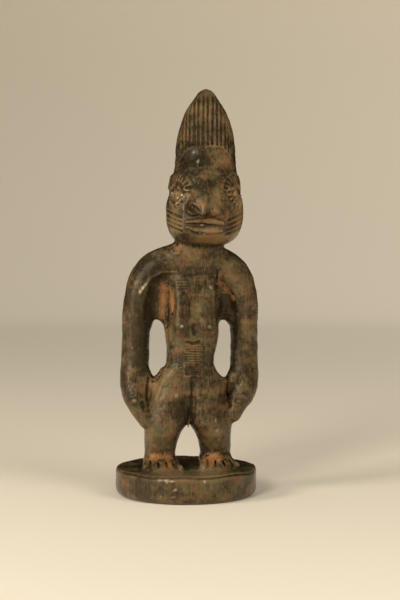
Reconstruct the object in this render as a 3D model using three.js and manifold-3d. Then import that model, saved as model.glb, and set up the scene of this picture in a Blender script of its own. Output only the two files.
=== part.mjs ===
// A carved twin figure: a standing woman with a tall fluted hairdress, her arms hanging in two
// open loops at her sides, on a round base. The whole work is one block of wood, so it is one mesh.
// Millimetres, +Z up, origin at the middle of the underside, face towards -Y.
import * as THREE from "three";
import { mergeVertices } from "three/addons/utils/BufferGeometryUtils.js";
import Module from "manifold-3d";

const wasm = await Module();
wasm.setup();

// Driving dimensions
const figureHeight = 242; // from the top of the base to the tip of the hair
const baseThickness = 18;
const baseRim = 9; // bare rim between the reach of the feet and the edge of the base
const baseFootRound = 5.5; // rounding of the base's lower edge
const baseTopBevel = 1.6; // worn upper edge of the base
const hairFlutes = 42;

// The carving keeps its proportions at any height. It is drawn in units of its height over 242,
// upwards from the top of the base, and the functions below work in those units.
const DRAWN_HEIGHT = 242;
const unit = figureHeight / DRAWN_HEIGHT;
const FEET_REACH = 36.5;
const baseRadius = FEET_REACH * unit + baseRim;

const SIDES = [-1, 1]; // the figure's right, then its left
const TURN = 2 * Math.PI;
const AXIS_Y = new THREE.Vector3(0, 1, 0);
const AXIS_Z = new THREE.Vector3(0, 0, 1);

// Solids

// A closed surface over a pile of rings that all have the same number of points, each ring
// counter-clockwise seen from the last one.
function skin(rings) {
  const sides = rings[0].length;
  const top = (rings.length - 1) * sides;
  const points = rings.flat();
  const start = points.push(middleOf(rings[0])) - 1;
  const end = points.push(middleOf(rings[rings.length - 1])) - 1;
  const index = [];
  for (let side = 0; side < sides; side++) {
    const next = (side + 1) % sides;
    for (let low = 0; low < top; low += sides) {
      const high = low + sides;
      index.push(low + side, low + next, high + next);
      index.push(low + side, high + next, high + side);
    }
    index.push(start, next, side);
    index.push(end, top + side, top + next);
  }
  return new THREE.BufferGeometry().setFromPoints(points).setIndex(index);
}

function middleOf(ring) {
  const sum = ring.reduce((total, point) => total.add(point), new THREE.Vector3());
  return sum.divideScalar(ring.length);
}

function solidFrom(geometry) {
  const bare = geometry.clone();
  bare.deleteAttribute("normal");
  bare.deleteAttribute("uv");
  const merged = mergeVertices(bare, 1e-4);
  const corners = merged.index.array;
  const triVerts = [];
  for (let i = 0; i < corners.length; i += 3) {
    const [a, b, c] = corners.slice(i, i + 3);
    if (a !== b && b !== c && c !== a) triVerts.push(a, b, c);
  }
  const mesh = new wasm.Mesh({
    numProp: 3,
    vertProperties: merged.attributes.position.array,
    triVerts: new Uint32Array(triVerts),
  });
  return new wasm.Manifold(mesh);
}

function geometryFrom(solid) {
  const mesh = solid.getMesh();
  return new THREE.BufferGeometry()
    .setAttribute("position", new THREE.BufferAttribute(mesh.vertProperties, 3))
    .setIndex(new THREE.BufferAttribute(mesh.triVerts, 1));
}

function join(solids) {
  return solids.reduce((whole, solid) => whole.add(solid));
}

function cut(whole, cutters) {
  return cutters.reduce((left, cutter) => left.subtract(cutter), whole);
}

// The values at any key of a table, on a smooth curve through its rows. A row is
// [key, value, value, ...], and the keys rise.
function along(table, key) {
  const last = table.length - 1;
  let i = 0;
  while (i < last - 1 && key > table[i + 1][0]) i++;
  const before = table[Math.max(i - 1, 0)];
  const from = table[i];
  const to = table[i + 1];
  const after = table[Math.min(i + 2, last)];
  const span = to[0] - from[0];
  const t = THREE.MathUtils.clamp((key - from[0]) / span, 0, 1);
  const eased = t * t * (3 - 2 * t);
  return from.slice(1).map((value, column) => {
    const end = to[column + 1];
    const slopeIn = (end - before[column + 1]) / (to[0] - before[0]);
    const slopeOut = (after[column + 1] - value) / (after[0] - from[0]);
    const swing = t * (1 - t) * span * (slopeIn * (1 - t) - slopeOut * t);
    return value + (end - value) * eased + swing;
  });
}

// Distance from the middle of a rounded rectangle to its edge, in the direction theta.
function reach(theta, halfWidth, halfDepth, power) {
  const across = Math.abs(Math.cos(theta) / halfWidth) ** power;
  const deep = Math.abs(Math.sin(theta) / halfDepth) ** power;
  return (across + deep) ** (-1 / power);
}

// An upright mass from a table of [height, x, y, half width, half depth].
function column(table, { sides, rows, power = 2 }) {
  const low = table[0][0];
  const high = table[table.length - 1][0];
  const rings = [];
  for (let row = 0; row <= rows; row++) {
    const z = low + ((high - low) * row) / rows;
    const [x, y, halfWidth, halfDepth] = along(table, z);
    const ring = [];
    for (let side = 0; side < sides; side++) {
      const theta = (TURN * side) / sides;
      const out = reach(theta, halfWidth, halfDepth, power);
      ring.push(new THREE.Vector3(x + out * Math.cos(theta), y + out * Math.sin(theta), z));
    }
    rings.push(ring);
  }
  return solidFrom(skin(rings));
}

// A rounded limb through a list of [x, y, z, half width, half depth]. The half depth is the one
// that looks towards deepAxis. The first and last spans are rounded off.
function limb(stations, { sides, rows, deepAxis = AXIS_Y }) {
  const bone = new THREE.CatmullRomCurve3(
    stations.map(([x, y, z]) => new THREE.Vector3(x, y, z)),
    false,
    "catmullrom",
  );
  const girth = new THREE.CatmullRomCurve3(
    stations.map(([, , , halfWidth, halfDepth]) => new THREE.Vector3(halfWidth, halfDepth, 0)),
    false,
    "catmullrom",
  );
  const spans = stations.length - 1;
  const rings = [];
  for (let row = 0; row <= rows; row++) {
    const t = 0.5 - 0.5 * Math.cos((Math.PI * (row + 0.5)) / (rows + 1));
    const fromEnd = Math.min(1, spans * Math.min(t, 1 - t));
    const rounding = Math.sqrt(1 - (1 - fromEnd) ** 4);
    const centre = bone.getPoint(t);
    const tangent = bone.getTangent(t);
    const across = deepAxis.clone().cross(tangent).normalize();
    const deep = tangent.clone().cross(across);
    const size = girth.getPoint(t).multiplyScalar(rounding);
    const ring = [];
    for (let side = 0; side < sides; side++) {
      const theta = (TURN * side) / sides;
      const point = centre.clone().addScaledVector(across, size.x * Math.cos(theta));
      ring.push(point.addScaledVector(deep, size.y * Math.sin(theta)));
    }
    rings.push(ring);
  }
  return solidFrom(skin(rings));
}

// An egg shape: its middle, its half axes, and its turns about X, Y and Z, taken in that order.
function egg(middle, halfAxes, { turns = [0, 0, 0], segments = 10 } = {}) {
  const shape = new THREE.SphereGeometry(1, segments, Math.ceil(segments * 0.6));
  const placing = new THREE.Matrix4().compose(
    new THREE.Vector3(...middle),
    new THREE.Quaternion().setFromEuler(new THREE.Euler(...turns, "ZYX")),
    new THREE.Vector3(...halfAxes),
  );
  return solidFrom(shape.applyMatrix4(placing));
}

// Body

// The body's middle drifts to its left as it rises.
const MIDLINE = [
  [-2, 0.8],
  [27, 1],
  [60, 1.5],
  [80, 2.9],
  [95, 3.2],
  [110, 3],
  [125, 4.5],
  [142, 8],
];
const midline = (z) => along(MIDLINE, z)[0];

// Height, y of the middle, half width and half depth.
const TORSO = [
  [46, 2, 27, 12],
  [54, 1.5, 27.5, 12.6],
  [60.5, 1, 19, 13.2],
  [67, 0.5, 15.3, 13],
  [80, 0.5, 16.3, 13],
  [91, 1, 17.7, 12.6],
  [102, 2, 18.3, 12],
  [113, 3, 19, 11.8],
  [124, 3.5, 18, 11.5],
  [134, 3, 15, 11],
];
const TORSO_POWER = 2.4;

function torso() {
  const table = TORSO.map(([z, ...rest]) => [z, midline(z), ...rest]);
  return column(table, { sides: 22, rows: 12, power: TORSO_POWER });
}

// The wood left behind the armpits, from the shoulder blades down to the top of the arm loops.
function armpits() {
  const table = [
    [94.5, 5.5, 22, 4],
    [97.5, 5.5, 26.5, 6.5],
    [112, 5, 28, 8],
    [126, 4.5, 24, 9],
  ].map(([z, ...rest]) => [z, ARM_MIDDLE, ...rest]);
  return column(table, { sides: 12, rows: 3, power: 3 });
}

// The flat front of the chest, between and under the breasts.
function breastbone() {
  const table = [
    [84, -7.5, 10.5, 3.5],
    [88, -8, 12, 4.5],
    [105, -7, 12, 5],
    [120, -5, 12, 4.5],
    [130, -2, 11, 4],
  ].map(([z, ...rest]) => [z, midline(z) + 1, ...rest]);
  return column(table, { sides: 12, rows: 4, power: 2.6 });
}

// Long flat breasts, the right one narrower. The nipples are low down.
const BREASTS = [
  { middle: -4, halfWidth: 4.6, nipple: [-4.8, -14.6, 90] },
  { middle: 12, halfWidth: 6.2, nipple: [13.4, -14.8, 89.6] },
];

function breasts() {
  return BREASTS.flatMap(({ middle, halfWidth, nipple }) => {
    const band = [
      [middle + 0.4, -3, 128, 0.8 * halfWidth, 3],
      [middle + 0.2, -7.2, 117, 0.95 * halfWidth, 3.8],
      [middle, -9.6, 104, halfWidth, 4.2],
      [middle, -10.4, 94, halfWidth, 4.6],
      [middle, -9.4, 86, 0.85 * halfWidth, 4],
    ];
    return [limb(band, { sides: 10, rows: 9 }), egg(nipple, [1.9, 1.6, 1.9], { segments: 6 })];
  });
}

// A hollow under the front of each shoulder, between the arm and the chest.
function armpitHollows() {
  const right = [
    [-14.5, -13, 122, 4, 6],
    [-17.2, -12, 114.5, 8.5, 10.5],
    [-18.4, -11, 105, 9.6, 12],
    [-19, -8.5, 95, 8.5, 10.5],
    [-19.4, -6, 86, 5, 7],
  ];
  const left = [
    [20.6, -13, 119, 2.4, 6],
    [23.4, -12, 112.5, 5.4, 10],
    [25.8, -11, 104, 6.8, 12],
    [26, -8.5, 95, 6.4, 10.5],
    [25.6, -6, 86, 4, 7],
  ];
  return [right, left].map((route) => limb(route, { sides: 10, rows: 6 }));
}

function neck() {
  const table = [
    [124, 4.5, 2.5, 18, 11],
    [132, 5.5, 1, 21, 12.5],
    [140, 6, -1, 18.5, 13.5],
    [144, 8, -2, 16, 14],
    [152, 10, -3, 14, 14.5],
  ];
  return column(table, { sides: 18, rows: 4 });
}

const ARM_MIDDLE = 3.5;
// The figure's left shoulder stands further out than the right one, and the left hand higher.
const SHOULDER_DRIFT = 1;
const HAND_LIFT = 3;

// Each arm hangs clear of the waist, and its hand is a plain wedge that closes on the thigh, with
// one raised knuckle.
function arms() {
  return SIDES.flatMap((side) => {
    const x = (out) => ARM_MIDDLE + side * out;
    const drift = side > 0 ? SHOULDER_DRIFT : 0;
    const lift = side > 0 ? HAND_LIFT : 0;
    const bone = [
      [x(5 + drift), 3, 132, 10.5, 10.5],
      [x(13.2 + drift), 3.3, 130.6, 11.5, 10.8],
      [x(21.6 + drift), 3.6, 127, 11.6, 11],
      [x(27.3 + drift), 4, 121.8, 11.2, 10.8],
      [x(31 + drift), 4.4, 114.8, 10.5, 10.5],
      [x(33.4), 4.8, 105, 9.9, 10.2],
      [x(34.8), 5.2, 94, 9.4, 9.8],
      [x(35.2), 5.6, 80, 9.1, 9.6],
      [x(35), 5, 66, 9.2, 9.4],
      [x(34.6), 3, 54, 9.8, 9.2],
      [x(34 - 0.3 * lift), 0.3, 45 + 0.5 * lift, 8.5, 8.8],
      [x(31 - 0.5 * lift), -2.6, 37.5 + lift, 7.2, 7.8],
      [x(28 - 0.5 * lift), -4.6, 30.5 + lift, 5.4, 6],
    ];
    const knuckle = [x(36), -6.5, 43];
    return [limb(bone, { sides: 12, rows: 18 }), egg(knuckle, [3.2, 3.4, 3.4], { segments: 6 })];
  });
}

const LEG_MIDDLE = 0.9;
const SINK = 1; // how far the legs are rooted in the base that they are carved from

// Height, distance from the middle, y, half width and half depth.
const LEG = [
  [-SINK, 17.9, 3, 9.8, 10.5],
  [7, 18, 2.5, 9.5, 10],
  [14.5, 17.5, 0.8, 10, 11],
  [22, 16, -1, 11.3, 12.2],
  [28, 14.1, -1, 14, 13.4],
  [35, 13, 0.3, 15, 14.4],
  [45, 12, 1.6, 14.2, 14.6],
  [54, 10.5, 1.6, 12.2, 13.2],
  [63, 8, 1, 9.2, 11],
];

function legs() {
  const meeting = [
    [1.6, -5.2, 57, 5, 5],
    [1.5, -5, 46, 5, 5],
    [1.3, -3.6, 34, 4, 4.5],
  ];
  const thighs = SIDES.flatMap((side) => {
    const table = LEG.map(([z, out, ...rest]) => [z, LEG_MIDDLE + side * out, ...rest]);
    const buttock = [LEG_MIDDLE + side * 10.5, 9, 43];
    return [
      column(table, { sides: 16, rows: 10 }),
      egg(buttock, [12, 9, 13], { segments: 10 }),
      ...foot(side),
    ];
  });
  return [...thighs, limb(meeting, { sides: 8, rows: 4 })];
}

const TOES = 5;

function foot(side) {
  const x = (out) => LEG_MIDDLE + side * out;
  const sole = [
    [x(17.4), 14.5, 1.5, 6, 4],
    [x(17.8), 8, 3, 9.2, 6],
    [x(18), 0, 3.4, 10.6, 6.4],
    [x(18.3), -8, 2.2, 11.8, 4.8],
    [x(18.6), -15.5, 0.8, 12.6, 3],
  ];
  const solids = [limb(sole, { sides: 10, rows: 6, deepAxis: AXIS_Z })];
  for (let toe = 0; toe < TOES; toe++) {
    const across = toe - (TOES - 1) / 2;
    const width = toe === 0 ? 3 : 2.3;
    const tip = [x(18.5 + across * 5.1), -15.5 + toe * 0.7, 1.4];
    solids.push(egg(tip, [width, 6, 2.8], { turns: [0, 0, side * across * 0.09], segments: 5 }));
  }
  return solids;
}

// Belly scars: a ladder of short level cuts under the navel.
function bellyScars() {
  const cutters = [];
  const scars = 12;
  for (let scar = 0; scar < scars; scar++) {
    const z = 76 - 1.6 * scar;
    const [y, , halfDepth] = along(TORSO, z);
    cutters.push(egg([midline(z), y - halfDepth, z], [6, 0.9, 0.5], { segments: 4 }));
  }
  return cutters;
}

// Head. Its own axis is upright and its face looks towards -Y, before it is turned and set over
// the neck.

const HEAD_TURN = -8.5; // degrees
const HEAD_X = 11.9;
const FRONT = -Math.PI / 2;

// Height, y of the middle, half width and half depth.
const HEAD = [
  [141, -5, 9, 11],
  [143, -6.6, 15.5, 16.5],
  [146, -7.8, 19.6, 21],
  [150, -8.8, 22.4, 24.2],
  [154, -9, 23.8, 25.8],
  [160, -8.8, 24.6, 26.8],
  [168, -8, 24.5, 27],
  [176, -7, 22.5, 26.5],
  [183, -5.5, 21.3, 25.5],
  [190, -3.5, 20, 24.3],
  [197, -1.5, 19, 23.2],
  [204, 0, 18.4, 22.2],
  [211, 1.5, 17.3, 20.5],
  [218, 3, 15.7, 18.4],
  [225, 4.2, 13.1, 15.2],
  [232, 5.2, 9.4, 11],
  [237, 5.8, 6.2, 7],
  [240.5, 6, 3.3, 3.6],
  [242, 6, 0.8, 0.8],
];
const HEAD_POWER = 2.3;
const HEAD_LEAN = 0.01; // sideways for each unit of height, towards the figure's left
const CHIN = HEAD[0][0];
const TIP = HEAD[HEAD.length - 1][0];
const HAIRLINE_FRONT = 205.5;
const HAIRLINE_SIDE = 193.5;
const HAIRLINE_NAPE = 174;
const FLUTE_RIDGE = 0.5; // proud of the head's own outline
const FLUTE_DEPTH = 1.4;
const FACE_COLUMNS = 28;

// A point on the head at an angle from the front, positive towards the figure's left.
function onHead(angle, z, proud = 0) {
  const theta = FRONT + angle;
  const [y, halfWidth, halfDepth] = along(HEAD, z);
  const out = reach(theta, halfWidth, halfDepth, HEAD_POWER) + proud;
  const lean = HEAD_LEAN * (z - CHIN);
  return new THREE.Vector3(lean + out * Math.cos(theta), y + out * Math.sin(theta), z);
}

// The hair starts high over the forehead, lower above the ears and lowest at the nape.
function hairline(angle) {
  const turn = Math.PI - Math.abs(Math.PI - angle);
  const toSide = THREE.MathUtils.smoothstep(turn, 0.35, 1.15);
  const toNape = THREE.MathUtils.smoothstep(turn, 1.6, 2.8);
  const drop = (HAIRLINE_FRONT - HAIRLINE_SIDE) * toSide + (HAIRLINE_SIDE - HAIRLINE_NAPE) * toNape;
  return HAIRLINE_FRONT - drop;
}

// One ring round the head: its height and how far it stands proud, at each of its angles.
function ringOnHead(columns, heightAt, proudAt) {
  return Array.from({ length: columns }, (_, i) => {
    const angle = (TURN * i) / columns;
    const z = heightAt(angle);
    return onHead(angle, z, proudAt(i, z));
  });
}

// The smooth head, which runs on inside the hair.
function face() {
  const rows = 9;
  const rings = [];
  for (let row = 0; row <= rows; row++) {
    const share = (row / rows) ** 1.2;
    const heightAt = (angle) => CHIN + (hairline(angle) - CHIN) * share;
    rings.push(ringOnHead(FACE_COLUMNS, heightAt, () => 0));
  }
  rings.push(ringOnHead(FACE_COLUMNS, (angle) => hairline(angle) + 8, () => -4));
  return solidFrom(skin(rings));
}

// The hair is a fluted cap, and its lower edge is a small ledge over the face.
function hair() {
  const columns = 2 * hairFlutes;
  const rows = 6;
  const rings = [ringOnHead(columns, hairline, () => -4)];
  for (let row = 0; row <= rows; row++) {
    const share = 1 - (1 - row / rows) ** 1.3;
    const heightAt = (angle) => hairline(angle) + (TIP - hairline(angle)) * share;
    const proudAt = (i, z) => {
      const fade = THREE.MathUtils.smoothstep(TIP - z, 3, 14);
      return fade * (i % 2 === 0 ? FLUTE_RIDGE : FLUTE_RIDGE - FLUTE_DEPTH);
    };
    rings.push(ringOnHead(columns, heightAt, proudAt));
  }
  return solidFrom(skin(rings));
}

// A rounded ridge or groove that follows the head through a list of [angle, height], with a half
// height and a half thickness.
function bandOnHead(route, proud, halfHeight, halfThickness, grain) {
  const stations = route.map(([angle, z]) => {
    const { x, y } = onHead(angle, z, proud);
    return [x, y, z, halfThickness, halfHeight];
  });
  return limb(stations, { ...grain, deepAxis: AXIS_Z });
}

function nose() {
  const ridge = [
    [-0.6, -25.5, 191, 2.6, 2.8],
    [-0.8, -30.6, 183, 3.2, 3.2],
    [-1, -35, 173, 4.2, 4.4],
    [-1, -37.4, 165.5, 5.6, 4.8],
    [-1, -36, 161.5, 4.6, 3.6],
  ];
  const wings = SIDES.map((side) => egg([side * 6.4, -34.6, 164], [5.2, 4.4, 3.8], { segments: 7 }));
  return [limb(ridge, { sides: 8, rows: 6 }), ...wings];
}

const MOUTH_ANGLE = 0.42;

function lips() {
  return [155.2, 148.9].map((z) => {
    const route = [-1, -0.5, 0, 0.5, 1].map((share) => [share * MOUTH_ANGLE, z]);
    return bandOnHead(route, 0, 3.2, 2.8, { sides: 7, rows: 5 });
  });
}

const EYE_ANGLE = 0.95;
const EYE_HEIGHT = 175;
const EYE_HALF_ANGLE = 0.5;
const EYE_HALF_HEIGHT = 7;

// Bulging almond eyes that wrap round to the temples, between two lids.
function eyes() {
  return SIDES.flatMap((side) => {
    const middle = onHead(side * EYE_ANGLE, EYE_HEIGHT, -1.5);
    const ball = egg(middle.toArray(), [9, 3.3, 5.6], {
      turns: [0, 0, side * EYE_ANGLE],
      segments: 8,
    });
    const lids = [-1, 1].map((up) => {
      const route = [-1, -0.5, 0, 0.5, 1].map((share) => [
        side * (EYE_ANGLE + share * EYE_HALF_ANGLE),
        EYE_HEIGHT + up * EYE_HALF_HEIGHT * (1 - share * share),
      ]);
      return bandOnHead(route, 0, 1.1, 0.9, { sides: 5, rows: 5 });
    });
    return [ball, ...lids];
  });
}

// Small ears, close to the head. The left one is set further back.
function ears() {
  return SIDES.map((side) =>
    egg([side * 20.4, side < 0 ? 1 : 5, 182], [2.8, 3.6, 4.8], { turns: [0.15, 0, 0], segments: 6 }),
  );
}

// Cheek scars: four cuts on each side, one above the other, that rise towards the ear.
function cheekScars() {
  const cutters = [];
  for (const side of SIDES) {
    for (let scar = 0; scar < 4; scar++) {
      const z = 158.5 - 3 * scar;
      const route = [0.6, 0.85, 1.1, 1.35].map((angle) => [side * angle, z + (angle - 0.6) * 3]);
      cutters.push(bandOnHead(route, 0, 0.65, 1.1, { sides: 4, rows: 3 }));
    }
  }
  return cutters;
}

function head() {
  const carved = join([face(), hair(), ...nose(), ...lips(), ...eyes(), ...ears()]);
  return cut(carved, cheekScars()).rotate([0, 0, HEAD_TURN]).translate([HEAD_X, 0, 0]);
}

function figure() {
  const trunk = [torso(), armpits(), breastbone(), ...breasts(), neck()];
  const body = join([...trunk, ...arms(), ...legs()]);
  const cuts = [...bellyScars(), ...armpitHollows()];
  return cut(body, cuts).add(head()).scale(unit).translate([0, 0, baseThickness]);
}

function base() {
  const profile = new THREE.Path();
  profile.moveTo(0, 0);
  profile.lineTo(baseRadius - baseFootRound, 0);
  profile.absarc(baseRadius - baseFootRound, baseFootRound, baseFootRound, -Math.PI / 2, 0, false);
  profile.lineTo(baseRadius, baseThickness - baseTopBevel);
  profile.lineTo(baseRadius - baseTopBevel, baseThickness);
  profile.lineTo(0, baseThickness);
  const turned = new THREE.LatheGeometry(profile.getPoints(1), 40);
  return solidFrom(turned.rotateX(Math.PI / 2));
}

function carvedWood() {
  return new THREE.MeshStandardMaterial({ color: 0x3a2a1c, roughness: 0.45, metalness: 0 });
}

const carving = new THREE.Mesh(geometryFrom(base().add(figure())), carvedWood());
carving.name = "ibeji_figure";

const group = new THREE.Group();
group.add(carving);

export default group;
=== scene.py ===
import itertools
import math
from collections import namedtuple

import bpy
import numpy as np
from mathutils import Euler, Matrix, Vector


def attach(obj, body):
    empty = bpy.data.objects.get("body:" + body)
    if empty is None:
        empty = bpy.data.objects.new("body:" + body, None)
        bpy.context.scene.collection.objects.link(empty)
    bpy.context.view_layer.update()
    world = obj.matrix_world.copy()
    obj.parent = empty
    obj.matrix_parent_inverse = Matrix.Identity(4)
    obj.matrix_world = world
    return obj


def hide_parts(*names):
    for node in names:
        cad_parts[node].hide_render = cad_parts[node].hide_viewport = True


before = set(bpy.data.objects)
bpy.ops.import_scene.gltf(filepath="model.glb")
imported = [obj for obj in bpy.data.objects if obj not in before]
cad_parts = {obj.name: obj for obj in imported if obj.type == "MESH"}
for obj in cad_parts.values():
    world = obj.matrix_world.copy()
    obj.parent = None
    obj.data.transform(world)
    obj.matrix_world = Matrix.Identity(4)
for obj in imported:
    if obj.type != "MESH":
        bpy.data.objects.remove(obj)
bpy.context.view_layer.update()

MM = 0.001
NODE = "ibeji_figure"
BASE_THICKNESS = 18.0
BASE_RADIUS = 45.5
ELBOW_REACH = 48.0  # of the left elbow, which stands out past the base
CELL = 0.5  # of the grid
GRID_ROOM = 2.0  # left empty round the wood
FAR = 30.0  # stands for any greater distance
MARGIN = 5.0  # how far round a shape its distances are worked out
MOST_TRIANGLES = 195000
WEAR_DEPTH = 0.25  # how far handling has taken the surface down on average
SIDES = (-1, 1)  # the figure's right, then its left

Shape = namedtuple("Shape", "low high distance")


# Tables and curves

def along(table, key):
    """The values at any key of a table of rows [key, value, ...], on a smooth curve through them."""
    rows = np.array(table, np.float32)
    keys, values = rows[:, 0], rows[:, 1:]
    key = np.asarray(key, np.float32)
    i = np.searchsorted(keys[1:-1], key)
    before = np.maximum(i - 1, 0)
    after = np.minimum(i + 2, len(rows) - 1)
    span = (keys[i + 1] - keys[i])[..., None]
    t = np.clip((key - keys[i])[..., None] / span, 0, 1)
    start, end = values[i], values[i + 1]
    slope_in = (end - values[before]) / (keys[i + 1] - keys[before])[..., None]
    slope_out = (values[after] - start) / (keys[after] - keys[i])[..., None]
    eased = t * t * (3 - 2 * t)
    swing = t * (1 - t) * span * (slope_in * (1 - t) - slope_out * t)
    return np.moveaxis(start + (end - start) * eased + swing, -1, 0)


def spline(stations, count):
    """Evenly numbered rows on a smooth curve through all the stations."""
    rows = np.array(stations, float)
    rows = np.vstack([2 * rows[0] - rows[1], rows, 2 * rows[-1] - rows[-2]])
    t = np.linspace(0, len(rows) - 3, count)
    i = np.minimum(t.astype(int), len(rows) - 4)
    u = (t - i)[:, None]
    a, b, c, d = (rows[i + step] for step in range(4))
    return 0.5 * (2 * b + (c - a) * u + (2 * a - 5 * b + 4 * c - d) * u**2 + (3 * b - a - 3 * c + d) * u**3)


def ease(low, high, value):
    """Rises smoothly from 0 at low to 1 at high."""
    t = np.clip((value - low) / (high - low), 0, 1)
    return t * t * (3 - 2 * t)


def bump(distance, reach):
    """A soft hump: 1 at no distance, 0 from the reach on."""
    return np.clip(1 - (distance / reach) ** 2, 0, 1) ** 2


def smooth_min(a, b, blend):
    """The lesser of two distances, with a soft crossing from one to the other."""
    if not blend:
        return np.minimum(a, b)
    near = np.maximum(blend - np.abs(a - b), 0) / blend
    return np.minimum(a, b) - near * near * blend / 4


def smooth_max(a, b, blend):
    return -smooth_min(-a, -b, blend)


# Shapes

def wall_distance(across, deep, half_width, half_depth, power):
    """Near enough the distance to an upright wall, squarer the more the power is over 2."""
    share = np.abs(across / half_width) ** power + np.abs(deep / half_depth) ** power
    out = np.maximum(np.hypot(across, deep), 1e-3)
    wall = out - out / np.maximum(share ** (1 / power), 1e-4)
    return wall / np.hypot(1, np.gradient(wall, CELL, axis=2))


def column(table, power=2.0, soft=0.0):
    """An upright mass from a table of [height, x, y, half width, half depth], with soft ends."""
    rows = np.array(table, np.float32)
    low, high = rows[0, 0], rows[-1, 0]
    reach = rows[:, 3:].max(axis=1, keepdims=True)

    def distance(x, y, z):
        middle_x, middle_y, half_width, half_depth = along(table, z)
        wall = wall_distance(x - middle_x, y - middle_y, half_width, half_depth, power)
        ends = np.abs(z - (low + high) / 2) - (high - low) / 2
        return smooth_max(wall, ends, soft)

    corner_low = np.append((rows[:, 1:3] - reach).min(axis=0), low)
    corner_high = np.append((rows[:, 1:3] + reach).max(axis=0), high)
    return Shape(corner_low, corner_high, distance)


def ellipsoid_distance(offsets, halves):
    """Near enough the distance to an ellipsoid, from the offsets along its own axes."""
    near = np.sqrt(sum((offset / half) ** 2 for offset, half in zip(offsets, halves)))
    steep = np.sqrt(sum((offset / half**2) ** 2 for offset, half in zip(offsets, halves)))
    return near * (near - 1) / np.maximum(steep, 1e-4)


def egg(middle, halves, turns=(0, 0, 0)):
    axes = np.array(Euler(turns).to_matrix())
    reach = np.abs(axes * halves).max(axis=1) * 1.5  # enough at any turn

    def distance(x, y, z):
        offset = (x - middle[0], y - middle[1], z - middle[2])
        local = [sum(offset[i] * axes[i, k] for i in range(3)) for k in range(3)]
        return ellipsoid_distance(local, halves)

    return Shape(np.array(middle) - reach, np.array(middle) + reach, distance)


def limb(stations, deep_axis=(0, 1, 0), pieces=36):
    """A rounded limb through [x, y, z, half width, half depth], whose depth looks to deep_axis."""
    path = spline(stations, pieces)
    reach = path[:, 3:].max(axis=1)[:, None]
    low = (path[:, :3] - reach).min(axis=0)
    high = (path[:, :3] + reach).max(axis=0)

    def distance(x, y, z):
        nearest = np.full(np.broadcast_shapes(x.shape, y.shape, z.shape), FAR, np.float32)
        for start, end in zip(path[:-1], path[1:]):
            room = max(start[3:].max(), end[3:].max()) + MARGIN
            bounds = zip((x, y, z), np.minimum(start, end) - room, np.maximum(start, end) + room)
            where = tuple(slice(*np.searchsorted(axis.ravel(), (a, b))) for axis, a, b in bounds)
            local = (x[where[0]], y[:, where[1]], z[:, :, where[2]])
            piece = limb_piece(start, end, deep_axis, local)
            nearest[where] = np.minimum(nearest[where], piece)
        return nearest

    return Shape(low, high, distance)


def limb_piece(start, end, deep_axis, point):
    """Near enough the distance to the stretch of a limb between two stations."""
    length = np.linalg.norm(end[:3] - start[:3])
    tangent = (end[:3] - start[:3]) / length
    across = np.cross(deep_axis, tangent)
    across /= np.linalg.norm(across)
    deep = np.cross(tangent, across)
    offset = [point[i] - start[i] for i in range(3)]
    run, side, front = (sum(offset[i] * axis[i] for i in range(3)) for axis in (tangent, across, deep))
    share = np.clip(run / length, 0, 1)
    half_width, half_depth = (start[i] + share * (end[i] - start[i]) for i in (3, 4))
    offsets = (side, front, run - share * length)
    return ellipsoid_distance(offsets, (half_width, half_depth, (half_width + half_depth) / 2))


class Block:
    """The wood, as the distance from each cell of a grid to its surface, negative inside."""

    def __init__(self, low, high):
        self.low = np.array(low, np.float32)
        self.size = np.ceil((np.array(high) - self.low) / CELL).astype(int) + 1
        self.distance = np.full(self.size, FAR, np.float32)

    def cells(self, low, high):
        """The cells in a box: their slices, and their x, y and z as an open grid."""
        first = np.clip(np.floor((np.array(low) - self.low) / CELL).astype(int), 0, self.size - 2)
        last = np.clip(np.ceil((np.array(high) - self.low) / CELL).astype(int), 1, self.size - 1)
        steps = [np.arange(a, b + 1, dtype=np.float32) for a, b in zip(first, last)]
        axes = [self.low[i] + CELL * steps[i] for i in range(3)]
        where = tuple(slice(a, b + 1) for a, b in zip(first, last))
        return where, np.meshgrid(*axes, indexing="ij", sparse=True)

    def add(self, shape, blend=0.0):
        where, point = self.cells(shape.low - MARGIN, shape.high + MARGIN)
        self.distance[where] = smooth_min(self.distance[where], shape.distance(*point), blend)

    def carve(self, shape, blend=0.0):
        where, point = self.cells(shape.low - MARGIN, shape.high + MARGIN)
        self.distance[where] = smooth_max(self.distance[where], -shape.distance(*point), blend)

    def press(self, low, high, depth):
        """Sinks the surface in a box by a depth that depends on the place, or raises it if negative."""
        where, point = self.cells(low, high)
        self.distance[where] += depth(*point)

    def sample(self, field, points, stride=1):
        """A field of every stride-th cell of this grid, at any points between them."""
        place = (points - self.low) / (CELL * stride)
        corner = np.clip(np.floor(place).astype(int), 0, np.array(field.shape) - 2)
        share = place - corner
        total = 0
        for step in itertools.product((0, 1), repeat=3):
            weight = np.prod(np.where(step, share, 1 - share), axis=1)
            total = total + weight * field[tuple((corner + step).T)]
        return total


# Body. The tables keep close to those of the solid.

# The body's middle drifts to its left as it rises.
MIDLINE = [[-2, 0.8], [27, 1], [60, 1.7], [70, 2.8], [80, 3.6], [95, 3.5], [110, 3], [125, 4.5], [142, 8]]

# Height, y of the middle, half width and half depth.
TORSO = [
    [46, 2, 27, 12],
    [54, 1.5, 27.5, 12.6],
    [58, 1.1, 21, 12.9],
    [60.5, 1, 18, 13.2],
    [67, 0.5, 15.5, 13],
    [80, 0.5, 16.8, 13],
    [91, 1, 18.2, 12.6],
    [102, 2, 18.3, 12],
    [113, 3, 19, 11.8],
    [124, 3.5, 18, 11.5],
    [134, 3, 15, 11],
]
TORSO_POWER = 2.4
ARM_MIDDLE = 3.5
# The left shoulder stands further out than the right one, and the left hand higher.
SHOULDER_DRIFT = 1.0
HAND_LIFT = 3.0
HAND_SPREAD = 1.6  # of the right hand
LEG_MIDDLE = 1.1

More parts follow.
